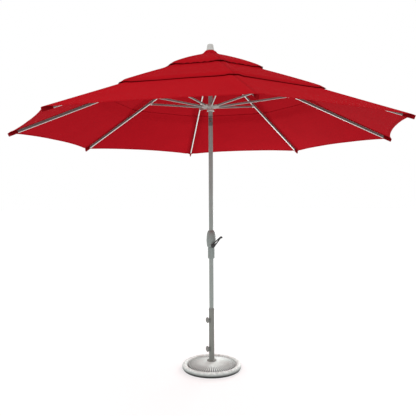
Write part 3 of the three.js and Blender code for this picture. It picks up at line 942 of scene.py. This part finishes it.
# ------------------------------------------------------------------ lower pole
@dataclass
class LowerPole:
    """The lower pole with its crank housing, crank and tilt collar.

    Attributes:
        bottom: the tube's lower end.
        top: its upper end.
        wall: its wall.
        collar: the tilt collar's lower and upper ends.
        housing: the housing's lower and upper ends.
        half_width: the housing's widest half width.
        reach: how much deeper than wide the housing's front is.
        crank_height: the crank's axis.
        crank_turn: how far the crank is turned from -Y, towards +X.
    """

    bottom: float = 0.0783
    top: float = 1.960
    wall: float = 0.0018
    collar: Point = (0.893, 0.983)
    housing: Point = (0.9842, 1.118)
    half_width: float = 0.038
    reach: float = 0.42
    crank_height: float = 1.000
    crank_turn: float = math.radians(12)

    def build(self) -> None:
        """Makes every piece of the lower pole."""
        self.tube("lower_tube", self.bottom, self.top, "pole", "lower_pole")
        self.tilt_collar()
        self.half_housing(True)
        self.half_housing(False)
        self.handle()

    def tube(self, name: str, low: float, high: float, body: str, node: str) -> None:
        """A round tube on the pole axis.

        Args:
            name: the piece's name.
            low: its lower end.
            high: its upper end.
            body: the body that it moves with.
            node: the CAD node that it stands for.
        """
        r, inner = LAYOUT.pole, LAYOUT.pole - self.wall
        profile = [(inner, low), (r - 0.0004, low), (r, low + 0.0004), (r, high - 0.0004),
                   (r - 0.0004, high), (inner, high)]
        shape = Shaper()
        shape.spin(profile, 64, closed=True)
        shape.piece(name, Finish.FRAME, body, [node])

    def tilt_collar(self) -> None:
        """The hand collar that tilts the canopy, with shallow grip flutes."""
        low, high = self.collar
        inner, outer = LAYOUT.pole + 0.0006, LAYOUT.pole + 0.0095
        profile = [(inner, low), (outer - 0.003, low), (outer - 0.0008, low + 0.003), (outer, low + 0.008)]
        profile += [(outer, low + 0.008 + (high - low - 0.016) * i / 8) for i in range(1, 9)]
        profile += [(outer - 0.0006, high - 0.003), (outer - 0.0024, high), (inner, high)]
        shape = Shaper()
        shape.spin(profile, 144, closed=True)
        for vert in shape.bm.verts:
            share = (vert.co.z - low) / (high - low)
            if 0.12 < share < 0.88 and math.hypot(vert.co.x, vert.co.y) > outer - 0.0002:
                wave = 0.5 - 0.5 * math.cos(18 * math.atan2(vert.co.y, vert.co.x))
                shrink = 1 - 0.0011 / outer * wave
                vert.co.x *= shrink
                vert.co.y *= shrink
        shape.piece("grip_collar", Finish.HOUSING, "collar", ["tilt_collar"], 50)

    def half_housing(self, front: bool) -> None:
        """Half of the crank housing, split in the plane of the pole axis.

        Args:
            front: whether it is the deep half that holds the crank.
        """
        low, high = self.housing
        w, bore = self.half_width, LAYOUT.pole + 0.0003
        profile = [(bore, low), (w - 0.011, low), (w - 0.008, low + 0.0015), (w - 0.0045, low + 0.010),
                   (w - 0.0015, low + 0.030), (w, low + 0.050), (w - 0.0004, high - 0.062),
                   (w - 0.003, high - 0.034),
                   (w - 0.008, high - 0.013), (w - 0.013, high - 0.002), (w - 0.0155, high), (bore, high)]
        profile = rounded(profile, 0.012, 4)
        shape = Shaper()
        bm = shape.bm
        line = [bm.verts.new((r, 0, z)) for r, z in profile]
        edges = [bm.edges.new(pair) for pair in zip(line, line[1:] + line[:1])]
        bmesh.ops.spin(bm, geom=line + edges, cent=(0, 0, 0), axis=(0, 0, 1),
                       angle=-math.pi if front else math.pi, steps=40)
        for vert in bm.verts:
            span = math.hypot(vert.co.x, vert.co.y)
            grow = min(1.0, max(0.0, (span - bore) / (w - bore)))
            if front:
                vert.co.y *= 1 + self.reach * grow
            vert.co.y += -0.00015 if front else 0.00015
        bmesh.ops.holes_fill(bm, edges=[e for e in bm.edges if e.is_boundary], sides=0)
        turn = Matrix.Rotation(self.crank_turn, 4, "Z")
        bmesh.ops.transform(bm, matrix=turn, verts=bm.verts)
        if front:
            y = -self.half_width * (1 + self.reach)
            boss = turn @ along_y((0, 0, self.crank_height))
            shape.spin(rounded([(0.0068, y + 0.012), (0.0165, y + 0.012), (0.0150, y - 0.0035),
                                (0.0125, y - 0.0045),
                                (0.0068, y - 0.0045)], 0.0014, 3), 48, boss, closed=True)
        name = "crank_cover" if front else "crank_back"
        shape.piece(name, Finish.HOUSING, "pole", ["housing_front" if front else "housing_back"],
                    45)

    def handle(self) -> None:
        """The crank handle: a hub, a tapered arm with a slot along it, and a round grip."""
        back, reach_x, reach_z = -LAYOUT.pole - 0.041, 0.064, 0.068
        front = back - 0.015
        hub_radius = 0.017
        turn = Matrix.Rotation(self.crank_turn, 4, "Z")
        reach = math.hypot(reach_x, reach_z)
        rise = Matrix.Rotation(-math.atan2(reach_z, reach_x), 4, "Y")
        stand = (turn @ Matrix.Translation((0, front + 0.010, self.crank_height)) @ rise
                 @ Matrix.Rotation(math.pi / 2, 4, "X"))
        shape = Shaper()
        bm = shape.bm
        loops = []
        for near, far, start, end in ((0.0160, 0.0066, 0.0, reach), (0.0046, 0.0012, 0.024, reach - 0.036)):
            made = bmesh.ops.create_circle(bm, cap_ends=False, segments=32, radius=1)["verts"]
            for vert in made:
                out = vert.co.x > 0
                r = far if out else near
                vert.co = Vector(((end if out else start) + vert.co.x * r, vert.co.y * r, 0))
            loops += list({e for v in made for e in v.link_edges})
        faces = bmesh.ops.bridge_loops(bm, edges=loops)["faces"]
        up = bmesh.ops.extrude_face_region(bm, geom=faces)["geom"]
        bmesh.ops.translate(bm, vec=(0, 0, 0.007), verts=[g for g in up if isinstance(g, bmesh.types.BMVert)])
        bmesh.ops.recalc_face_normals(bm, faces=bm.faces)
        shape._bevel_new(set(), 0.0016, 3)
        bmesh.ops.transform(bm, matrix=stand, verts=bm.verts)
        hub = turn @ along_y((0, 0, self.crank_height))
        cup = [(0.0064, back), (hub_radius - 0.001, back), (hub_radius, back - 0.003),
               (hub_radius, front + 0.003),
               (hub_radius - 0.004, front), (0, front - 0.0012), (0, back - 0.004), (0.0064, back - 0.004)]
        shape.spin(rounded(cup, 0.0016, 3), 48, hub, closed=True)
        end = turn @ along_y((reach_x, 0, self.crank_height + reach_z))
        grip = [(0, front + 0.004), (0.0075, front + 0.004), (0.0082, front), (0.0066, front - 0.004),
                (0.0078, front - 0.012), (0.0085, front - 0.021), (0.0078, front - 0.027),
                (0.004, front - 0.030),
                (0, front - 0.030)]
        shape.spin(rounded(grip, 0.004, 4), 40, end)
        shape.piece("crank_arm", Finish.BLACK, "crank", ["crank_handle"], 40)


# ------------------------------------------------------------------ mast
@dataclass
class Mast:
    """The tilting upper pole with its runner, hub and finial.

    Attributes:
        runner_height: the strut ends' height on the runner.
        runner_radius: the strut ends' distance from the pole axis.
        cloth_top: the fabric's height at the finial.
        bottom: the upper tube's lower end.
    """

    runner_height: float
    runner_radius: float
    cloth_top: float
    bottom: float = 2.0395

    def build(self, lower: LowerPole) -> None:
        """Makes every piece of the mast.

        Args:
            lower: the lower pole, whose tube the upper one matches.
        """
        lower.tube("upper_tube", self.bottom, LAYOUT.hub_height + 0.020, "mast", "upper_pole")
        self.runner()
        self.finial()

    def runner(self) -> None:
        """The sliding runner: a sleeve with a flared cup below and a pair of lugs for each strut."""
        z, bore, sleeve = self.runner_height, LAYOUT.pole + 0.0006, LAYOUT.pole + 0.006
        profile = [(bore, z - 0.040), (bore + 0.0092, z - 0.040), (bore + 0.0110, z - 0.037),
                   (bore + 0.0095, z - 0.030),
                   (bore + 0.0062, z - 0.022), (sleeve, z - 0.013), (sleeve, z + 0.019),
                   (sleeve - 0.002, z + 0.022),
                   (bore, z + 0.022)]
        shape = Shaper()
        shape.spin(rounded(profile, 0.002, 4), 64, closed=True)
        half, thick = 0.0036, 0.003
        for k in range(LAYOUT.ribs):
            at = LAYOUT.bar_frame(k, 0, z, 0)
            for side in (-1, 1):
                inner, outer = sorted((side * half, side * (half + thick)))
                shape.box((sleeve - 0.0015, inner, -0.009), (self.runner_radius + 0.008, outer, 0.009),
                          0.0012, at)
                face = at @ Matrix.Translation((self.runner_radius, side * (half + thick), 0))
                shape.rod(0.0032, -0.0012, 0.0012, 0.0005, face @ Matrix.Rotation(math.pi / 2, 4, "X"), 16)
        shape.piece("strut_runner", Finish.PALE, "runner", ["runner"], 40)

    def finial(self) -> None:
        """The tapered finial that clamps the cloth to the pole."""
        low = self.cloth_top + 0.0013
        neck, plug, seat = LAYOUT.pole - 0.002, LAYOUT.pole - 0.0021, LAYOUT.hub_height + 0.0203
        profile = [(0, seat - 0.024), (plug, seat - 0.024), (plug, seat), (neck, seat), (neck, low),
                   (0.0310, low),
                   (0.0322, low + 0.002), (0.0318, low + 0.008), (0.0300, low + 0.0105),
                   (0.0292, low + 0.012),
                   (0.0270, low + 0.030), (0.0250, low + 0.044), (0.0225, low + 0.0505),
                   (0.016, low + 0.0535),
                   (0, low + 0.0540)]
        shape = Shaper()
        shape.spin(rounded(profile, 0.0022, 4), 72)
        shape.piece("finial_cap", Finish.PALE, "mast", ["finial"], 50)


# ------------------------------------------------------------------ ribs and struts
@dataclass
class Ribs:
    """The eight ribs with their brackets, and the eight struts.

    Attributes:
        width: a rib's width.
        depth: its depth.
        bracket: the bracket's place along the rib.
        strut_width: a strut's thickness.
        strut_depth: its depth.
        strut_rise: how steeply the struts rise outwards, in radians.
        runner_radius: the strut ends' distance from the pole axis.
    """

    width: float = 0.010
    depth: float = 0.021
    bracket: float = 0.650
    strut_width: float = 0.0064
    strut_depth: float = 0.015
    strut_rise: float = math.radians(9.5)
    runner_radius: float = 0.062

    @property
    def drop(self) -> float:
        """How far the strut's pin lies below the rib's middle."""
        return self.depth / 2 + self.strut_depth / 2 + 0.002

    def pivot(self) -> Point:
        """The strut pin's distance from the pole axis, and its height."""
        s, c = math.sin(LAYOUT.slope), math.cos(LAYOUT.slope)
        return (LAYOUT.hub_radius + self.bracket * c - self.drop * s,
                LAYOUT.hub_height - self.bracket * s - self.drop * c)

    @property
    def strut_length(self) -> float:
        """A strut's length from pin to pin."""
        return (self.pivot()[0] - self.runner_radius) / math.cos(self.strut_rise)

    @property
    def runner_height(self) -> float:
        """The height of the struts' inner pins."""
        return self.pivot()[1] - self.strut_length * math.sin(self.strut_rise)

    def build(self) -> None:
        """Makes each rib and its strut."""
        for k in range(LAYOUT.ribs):
            self.rib(k)
            self.strut(k)

    def flat_bar(self, shape: Shaper, length: float, depth: float, width: float, at: Matrix) -> None:
        """A flat bar with round ends, along X.

        Args:
            shape: where it goes.
            length: between the middles of its ends.
            depth: its depth.
            width: its thickness.
            at: its frame.
        """
        def outline(angle: float) -> Point:
            """The point of the round-ended outline at an angle, in radians."""
            x = depth / 2 * math.cos(angle)
            return x + (length if math.cos(angle) > 1e-6 else 0.0), depth / 2 * math.sin(angle)

        upright = at @ Matrix.Translation((0, width / 2, 0)) @ Matrix.Rotation(math.pi / 2, 4, "X")
        shape.prism(outline, 26, width, 0.0009, upright)

    def lay_out(self, shape: Shaper, at: Matrix, half: float) -> None:
        """Lays a bar out for the painted shade on its sides: metres along it, and the share of its half
        depth.

        Args:
            shape: the bar.
            at: its frame.
            half: half its depth.
        """
        layer, back = shape.bm.loops.layers.uv.new("bar"), at.inverted()
        for face in shape.bm.faces:
            for loop in face.loops:
                local = back @ loop.vert.co
                loop[layer].uv = (local.x, local.z / half)

    def rib(self, k: int) -> None:
        """One rib: a rounded tube with a hinge tongue, a strut bracket and its rivets.

        Args:
            k: its number, from 0.
        """
        at = LAYOUT.bar_frame(k, LAYOUT.hub_radius, LAYOUT.hub_height, LAYOUT.slope)
        shape = Shaper()
        w, d = self.width / 2, self.depth / 2
        shape.box((0.020, -w, -d), (LAYOUT.rib_span - 0.010, w, d), 0.0022, at, 3)
        self.flat_bar(shape, 0.024, 0.014, self.strut_width, at)
        sideways = Matrix.Rotation(math.pi / 2, 4, "X")
        shape.rod(0.0025, -0.0064, 0.0064, 0.0004, at @ sideways, 16)
        clear, thick = self.strut_width / 2 + 0.0004, 0.0028
        for side in (-1, 1):
            inner, outer = sorted((side * clear, side * (clear + thick)))
            shape.box((self.bracket - 0.011, inner, -self.drop - 0.007),
                      (self.bracket + 0.011, outer, -d + 0.006),
                      0.0009, at)
            for x, z in ((0, -self.drop), (-0.006, -d + 0.001), (0.006, -d + 0.001)):
                head = at @ Matrix.Translation((self.bracket + x, side * (clear + thick), z)) @ sideways
                shape.rod(0.0030 if x == 0 else 0.0016, -0.0010, 0.0010, 0.0004, head, 16)
        self.lay_out(shape, at, d)
        n = k + 1
        shape.piece(f"rib_tube_{n}", Finish.RIB, f"rib_{n}", [f"rib_{n}"], 40)

    def strut(self, k: int) -> None:
        """One strut, from its rib's bracket in to the runner.

        Args:
            k: its number, from 0.
        """
        radius, height = self.pivot()
        at = LAYOUT.bar_frame(k, radius, height, math.pi - self.strut_rise)
        shape = Shaper()
        self.flat_bar(shape, self.strut_length, self.strut_depth, self.strut_width, at)
        sideways = Matrix.Rotation(math.pi / 2, 4, "X")
        shape.rod(0.0025, -0.0060, 0.0060, 0.0004, at @ sideways, 16)
        self.lay_out(shape, at, self.strut_depth / 2)
        n = k + 1
        shape.piece(f"strut_bar_{n}", Finish.STRUT, f"strut_{n}", [f"strut_{n}"], 40)


# ------------------------------------------------------------------ canopy
@dataclass(frozen=True)
class Layer:
    """One tier of the cloth.

    Attributes:
        name: the tier's name.
        inner: its inner edge, from the pole axis.
        outer: its corners, from the pole axis.
        lift: how far it stands above the ribs' middle line, square to them.
        sag: how far its panels dip between the ribs.
        billow: how far it stands up along the ribs.
        droop: how far its hem hangs down between the ribs, and at its corners.
        tuck: how far its inner edge rises under the tier above.
        keep: the share of its width that is left when the canopy is closed; not used.
        rows: the pieces along a rib.
        scallop: how far its hem curves in between the corners, as a share of outer.
    """

    name: str
    inner: float
    outer: float
    lift: float
    sag: float
    billow: float
    droop: Point
    tuck: float
    keep: float
    rows: int
    scallop: float = 0.035

    def hem(self, t: float) -> float:
        """The hem's distance from the pole axis, along the ribs, t of the way to the next rib."""
        return self.outer * (1 - self.scallop * (4 * t * (1 - t)) ** 0.6)


def smooth(value: float) -> float:
    """A soft step from 0 to 1."""
    value = min(1.0, max(0.0, value))
    return value * value * (3 - 2 * value)


@dataclass
class Canopy:
    """The three tiers of cloth, each in eight gores centred on the ribs, and the pockets at the rib ends.

    Attributes:
        thickness: the cloth's thickness.
        fold: how much thicker the hem's fold is.
        columns: the pieces across a gore.
        crown: the radii of the raised crown's foot and top, and its rise.
        edge: how far from an edge a tier bends down or up.
        ripple: how far the cap's hem waves up and down.
        waves: the half waves of that ripple across a gore.
        ridge: how steeply a panel would fall away from its rib, which a narrow level band there makes up for.
        main: the lowest tier.
        mid: the tier above it.
        top: the cap.
        peak: the small raised crown on the cap, which stays with the mast.
    """

    thickness: float = 0.0016
    fold: float = 0.0008
    columns: int = 44
    crown: tuple[float, float, float] = (0.062, 0.034, 0.017)
    edge: float = 0.055
    ripple: float = 0.0028
    waves: int = 14
    ridge: float = 0.17
    main: Layer = Layer("main", 0.855, 1.560, 0.0143, 0.007, 0.0, (0.0, 0.0), 0.0153, 0.15, 44)
    mid: Layer = Layer("mid", 0.392, 0.983, 0.031, 0.005, 0.003, (0.014, 0.008), 0.0205, 0.17, 44)
    top: Layer = Layer("top", 0.056, 0.488, 0.051, 0.003, 0.009, (0.011, 0.004), -0.004, 0.34, 40)
    peak: Layer = Layer("crown", 0.017, 0.100, 0.0515, 0.0, 0.0, (0.0, 0.0), 0.0, 1.0, 36, 0.0)

    @property
    def cloth_top(self) -> float:
        """The fabric's height at the finial."""
        return self.point(self.peak, 0, self.crown[1], 0.0, 1, 0.0).z

    def build(self) -> None:
        """Makes each gore of each tier, and the pockets."""
        for layer in (self.main, self.mid, self.top, self.peak):
            for k in range(LAYOUT.ribs):
                self.gore(layer, k)
        for k in range(LAYOUT.ribs):
            self.pocket(k)

    def rise(self, layer: Layer, rho: float, t: float, share: float) -> float:
        """How far a tier stands above its own plain slope.

        Args:
            layer: the tier.
            rho: how far out along the ribs.
            t: how far across to the next rib.
            share: how far from the inner edge to the hem.

        Returns:
            The rise, in metres.
        """
        bow = 4 * t * (1 - t)
        between, corner = layer.droop
        hanging = smooth(1 - (layer.hem(t) - rho) / self.edge)
        z = -(corner + (between - corner) * bow ** 0.5) * hanging
        z += layer.tuck * smooth(1 - (rho - layer.inner) / (2 * self.edge))
        z += self.ripple * math.sin(self.waves * math.pi * t) * bow * hanging * (layer is self.top)
        z += layer.billow * math.sin(math.pi * share ** 1.3)
        z -= layer.sag * bow * math.sin(math.pi * min(1.0, share * 0.8 + 0.1))
        if layer is self.peak:
            foot, head, height = self.crown
            climb = min(1.0, max(0.0, (foot - rho) / (foot - head)))
            z += height * (1 - (1 - climb) ** 2)
        return z

    def point(self, layer: Layer, k: int, rho: float, t: float, side: int, share: float) -> Vector:
        """A point on a tier.

        Args:
            layer: the tier.
            k: the rib.
            rho: how far out along the ribs.
            t: how far across to the next rib, from 0 to 1.
            side: -1 or 1, the side of the rib.
            share: how far from the inner edge to the hem.

        Returns:
            The point.
        """
        level = max(rho, self.crown[1])
        z = LAYOUT.hub_height - (level - LAYOUT.hub_radius) * math.tan(LAYOUT.slope)
        z += layer.lift / math.cos(LAYOUT.slope) + self.rise(layer, rho, t, share)
        a, b = LAYOUT.heading(k), LAYOUT.heading(k + side)
        x = rho * ((1 - t) * math.cos(a) + t * math.cos(b))
        y = rho * ((1 - t) * math.sin(a) + t * math.sin(b))
        if rho < 0.10:
            near = min(1.0, (0.10 - rho) / 0.04)
            spread = 1 - near * (1 - rho / math.hypot(x, y))
            x, y = x * spread, y * spread
        aside = rho * t * math.sin(TAU / LAYOUT.ribs)
        z += self.ridge * aside * (1 - smooth((aside - 0.02) / 0.04))
        bow = 4 * t * (1 - t)
        z += 0.0016 * noise.noise(Vector((x * 5, y * 5, 3.0))) * bow * smooth((rho - 0.1) / 0.1)
        return Vector((x, y, z))

    def gore(self, layer: Layer, k: int) -> None:
        """One gore of a tier: half a panel on each side of its rib.

        Args:
            layer: the tier.
            k: the rib, from 0.
        """
        shape = Shaper()
        bm = shape.bm
        bmesh.ops.create_grid(bm, x_segments=self.columns, y_segments=layer.rows, size=1)
        cloth = bm.loops.layers.uv.new("cloth")
        places = {}
        for vert in bm.verts:
            s, along = vert.co.x, (vert.co.y + 1) / 2
            t = 0.5 * abs(s) ** 1.35
            share = 0.5 - 0.5 * math.cos(math.pi * along)
            edge = layer.hem(t)
            rho = layer.inner + (edge - layer.inner) * share
            vert.co = self.point(layer, k, rho, t, -1 if s < 0 else 1, share)
            across = math.copysign(2 * rho * t * math.sin(math.pi / LAYOUT.ribs), s)
            places[vert] = (across, (edge - rho) / math.cos(LAYOUT.slope))
        for face in bm.faces:
            for loop in face.loops:
                loop[cloth].uv = places[loop.vert]
        area = sum(f.calc_area() for f in bm.faces)
        self.thicken(bm, cloth)
        n = k + 1
        rigid = layer is self.peak
        body = "mast" if rigid else f"rib_{n}"
        node = "canopy_top" if rigid or layer is self.top else f"canopy_{layer.name}_{n}"
        # the mid tier and the cap take the canvas with painted shade along the hem's lip
        finish = Finish.VENT if layer in (self.mid, self.top) else Finish.CLOTH
        gore = shape.piece(f"cloth_{layer.name}_{n}", finish, body, [node], 60)
        # slot 1: the underside's darker canvas, painted shade
        gore.data.materials.append(Finish.LINING.material)
        if rigid:
            return
        heading = LAYOUT.heading(k)
        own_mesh(gore)

    def thicken(self, bm: bmesh.types.BMesh, cloth: bmesh.types.BMLayerItem) -> None:
        """Gives a gore its thickness, straight down, with a thicker fold along its hem, and gives its lower
        faces the second slot, the canvas painted darker as shade.

        Args:
            bm: the gore.
            cloth: its UV layer, whose second value is the distance from the hem.
        """
        made = bmesh.ops.extrude_face_region(bm, geom=bm.faces[:], use_keep_orig=True)["geom"]
        # the lower faces take slot 1, the darker canvas, as painted shade on the underside
        for face in (g for g in made if isinstance(g, bmesh.types.BMFace)):
            face.material_index = 1
        for vert in (g for g in made if isinstance(g, bmesh.types.BMVert)):
            inward = min(loop[cloth].uv.y for loop in vert.link_loops)
            vert.co.z -= self.thickness + self.fold * (1 - smooth((inward - 0.018) / 0.006))

    def pocket(self, k: int) -> None:
        """The sewn pocket that holds the end of a rib.

        Args:
            k: the rib, from 0.
        """
        at = LAYOUT.bar_frame(k, LAYOUT.hub_radius, LAYOUT.hub_height, LAYOUT.slope)
        shape = Shaper()
        end = LAYOUT.rib_span
        new = shape.box((end - 0.082, -0.0066, -0.0128), (end - 0.006, 0.0066, 0.0118), 0.0035, None, 3)
        for vert in new:
            share = (vert.co.x - (end - 0.082)) / 0.078
            vert.co.y *= 1.12 - 0.3 * share * share
            vert.co.z += 0.0015 * math.sin(share * math.pi) * (1 if vert.co.z < 0 else 0)
        bmesh.ops.transform(shape.bm, matrix=at, verts=shape.bm.verts)
        n = k + 1
        shape.piece(f"rib_pocket_{n}", Finish.POCKET, f"rib_{n}", (), 50)


# ------------------------------------------------------------------ the CAD nodes that stay
KEPT: dict[str, Finish] = {
    "foot_plug": Finish.BLACK,
    "knuckle_lower": Finish.KNUCKLE,
    "knuckle_upper": Finish.KNUCKLE,
    "tilt_pin": Finish.STEEL,
    "crank_shaft": Finish.STEEL,
    "top_hub": Finish.HOUSING,
}


def dress_kept_nodes() -> None:
    """Gives each CAD node that stays its finish."""
    for name, finish in KEPT.items():
        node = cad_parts[name]
        node.data.materials.clear()
        node.data.materials.append(finish.material)
        LOG.info("%s keeps its CAD shape", name)


# ------------------------------------------------------------------ studio
@dataclass
class Studio:
    """The camera, the floor and the lights.

    Attributes:
        distance: the camera's distance from the pole axis.
        height: its height.
        pitch: how far it looks down, in degrees.
        yaw: how far it looks to the left, in degrees.
        roll: how far it leans clockwise, in degrees.
        lens: its focal length, in millimetres.
        floor_half: half the floor's side.
        floor_glow: how strongly the floor shines by itself.
    """

    distance: float = 3.8776
    height: float = 1.3672
    pitch: float = 0.988
    yaw: float = 0.36
    roll: float = 0.28
    lens: float = 41.55
    floor_half: float = 60
    floor_glow: float = 0.56

    def build(self) -> None:
        """Makes the camera, the floor and the lights."""
        self.camera()
        self.floor()
        self.world()
        self.lamp("key", (-3.0, -4.4, 5.0), 3.0, 60, (0, 0, 1.6))
        self.lamp("base_back", (0.9, 1.9, 1.1), 1.0, 22, (0, 0, 0.05))

    def camera(self) -> None:
        """The camera, level with the crank and looking along +Y."""
        data = bpy.data.cameras.new("view")
        data.lens = self.lens
        data.sensor_width = 36.0
        data.sensor_fit = "HORIZONTAL"
        data.clip_end = 200
        camera = bpy.data.objects.new("view", data)
        camera.location = (0, -self.distance, self.height)
        aim = (Matrix.Rotation(math.radians(self.yaw), 3, "Z")
               @ Matrix.Rotation(math.radians(90 - self.pitch), 3, "X"))
        camera.rotation_euler = (aim @ Matrix.Rotation(-math.radians(self.roll), 3, "Z")).to_euler()
        bpy.context.scene.collection.objects.link(camera)
        bpy.context.scene.camera = camera

    def floor(self) -> None:
        """A plain pale floor."""
        shape = Shaper()
        bmesh.ops.create_grid(shape.bm, x_segments=1, y_segments=1, size=self.floor_half)
        mesh = bpy.data.meshes.new("floor")
        shape.bm.to_mesh(mesh)
        shape.bm.free()
        floor = bpy.data.objects.new("floor", mesh)
        bpy.context.scene.collection.objects.link(floor)
        g = Graph("pale_floor")
        mesh.materials.append(g.done(g.surface(
            Base_Color=(0.5, 0.5, 0.5, 1), Roughness=0.9, Specular_IOR_Level=0.1,
            Emission_Color=(1, 1, 1, 1), Emission_Strength=self.floor_glow)))

    def world(self) -> None:
        """An even white surround."""
        world = bpy.data.worlds.new("surround")
        world.use_nodes = True
        world.node_tree.nodes["Background"].inputs["Color"].default_value = (1, 1, 1, 1)
        world.node_tree.nodes["Background"].inputs["Strength"].default_value = 1.0
        bpy.context.scene.world = world
        bpy.context.scene.view_settings.view_transform = "Standard"

    def lamp(self, name: str, at: Sequence[float], size: float, power: float, aim: Sequence[float]) -> None:
        """A soft square lamp.

        Args:
            name: its name.
            at: where it is.
            size: its side.
            power: its power, in watts.
            aim: where it points.
        """
        data = bpy.data.lights.new(name, "AREA")
        data.size = size
        data.energy = power
        lamp = bpy.data.objects.new(name, data)
        lamp.location = at
        lamp.rotation_euler = (Vector(aim) - Vector(at)).to_track_quat("-Z", "Y").to_euler()
        lamp.visible_camera = False
        bpy.context.scene.collection.objects.link(lamp)


def write_sizes() -> None:
    """Brings the scene's matrices up to date; it writes nothing."""
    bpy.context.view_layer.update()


def main() -> None:
    """Builds the umbrella, its base and the studio."""
    logging.basicConfig(level=logging.INFO, format="%(name)s: %(message)s")
    Studio().build()
    Base().build()
    lower = LowerPole()
    lower.build()
    ribs, canopy = Ribs(), Canopy()
    Mast(ribs.runner_height, ribs.runner_radius, canopy.cloth_top).build(lower)
    ribs.build()
    canopy.build()
    dress_kept_nodes()
    write_sizes()


if __name__ == "__main__":
    main()
